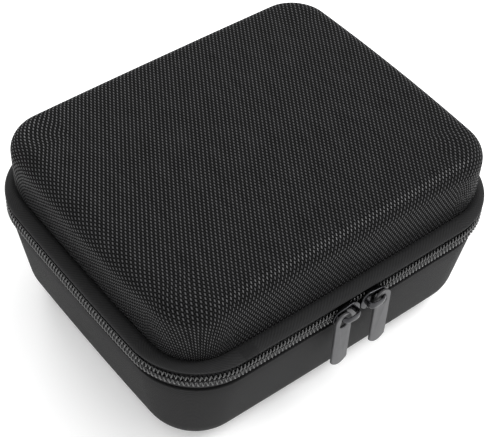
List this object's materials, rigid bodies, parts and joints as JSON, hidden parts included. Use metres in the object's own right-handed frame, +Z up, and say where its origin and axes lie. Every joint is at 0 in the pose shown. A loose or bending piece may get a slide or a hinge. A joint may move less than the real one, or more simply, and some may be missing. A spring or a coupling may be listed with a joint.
{
  "type": "hard-shell zip case for a pocket launch monitor",
  "caption": "Hard-shell zip-around carrying case with rounded corners, a flanged lid, zip sliders with pull tabs, a foam insert and a net lid pocket.",
  "frame": {"origin": "centre of the underside, on the surface that the closed case stands on", "axes": "+X along the case's long side, +Y towards the fabric hinge at the back (the zip sliders face -Y), +Z up"},
  "size_m": [0.1582, 0.1368, 0.08],
  "materials": {
    "ballistic_nylon": "coarse plain weave, slightly glossy yarns",
    "fine_fabric": "fine matt weave",
    "shell_foam": "matt EVA foam",
    "lining_fabric": "soft knitted lining",
    "binding_tape": "ribbed woven tape",
    "zip_tape": "fine twill tape",
    "zip_coil": "glossy nylon monofilament",
    "insert_foam": "open-cell foam",
    "net": "hexagonal polyester net",
    "elastic": "ribbed elastic",
    "slider_metal": "black nickel, polished",
    "tab_metal": "satin gunmetal"
  },
  "bodies": {
    "base": {"base_cover": "fine_fabric", "base_core": "shell_foam", "base_lining": "lining_fabric", "base_binding": "binding_tape", "lower_zipper_tape": "zip_tape", "lower_zipper_coil": "zip_coil", "foam_insert": "insert_foam", "hinge_strip_outer": "fine_fabric", "hinge_strip_inner": "binding_tape", "zip_end_tabs": "binding_tape"},
    "lid": {"lid_cover": "ballistic_nylon", "lid_core": "shell_foam", "lid_lining": "lining_fabric", "lid_binding": "binding_tape", "flange_strip": "fine_fabric", "upper_zipper_tape": "zip_tape", "upper_zipper_coil": "zip_coil", "mesh_pocket": "net", "mesh_pocket_hem": "elastic"},
    "left_slider": {"left_slider_body": "slider_metal", "left_slider_bail": "slider_metal"},
    "left_tab": {"left_pull_tab": "tab_metal"},
    "right_slider": {"right_slider_body": "slider_metal", "right_slider_bail": "slider_metal"},
    "right_tab": {"right_pull_tab": "tab_metal"}
  },
  "joints": [
    {"name": "lid_hinge", "type": "hinge", "parent": "base", "child": "lid", "pos_m": [0, 0.0665, 0.0487], "axis": [-1, 0, 0], "range_deg": [0, 180], "deforming": ["hinge_strip_outer", "hinge_strip_inner", "zip_end_tabs", "upper_zipper_tape", "upper_zipper_coil"]},
    {"name": "left_slider_travel", "type": "slide", "parent": "base", "child": "left_slider", "axis": [-1, 0, 0], "range_m": [0, 0.038], "deforming": ["lower_zipper_coil", "upper_zipper_coil"]},
    {"name": "right_slider_travel", "type": "slide", "parent": "base", "child": "right_slider", "axis": [1, 0, 0], "range_m": [0, 0.038], "deforming": ["lower_zipper_coil", "upper_zipper_coil"]},
    {"name": "left_tab_swing", "type": "hinge", "parent": "left_slider", "child": "left_tab", "pos_m": [-0.0092, -0.0685, 0.0491], "axis": [0, 1, 0], "range_deg": [-12, 110]},
    {"name": "right_tab_swing", "type": "hinge", "parent": "right_slider", "child": "right_tab", "pos_m": [0.0092, -0.0685, 0.0491], "axis": [0, -1, 0], "range_deg": [-12, 110]}
  ]
}
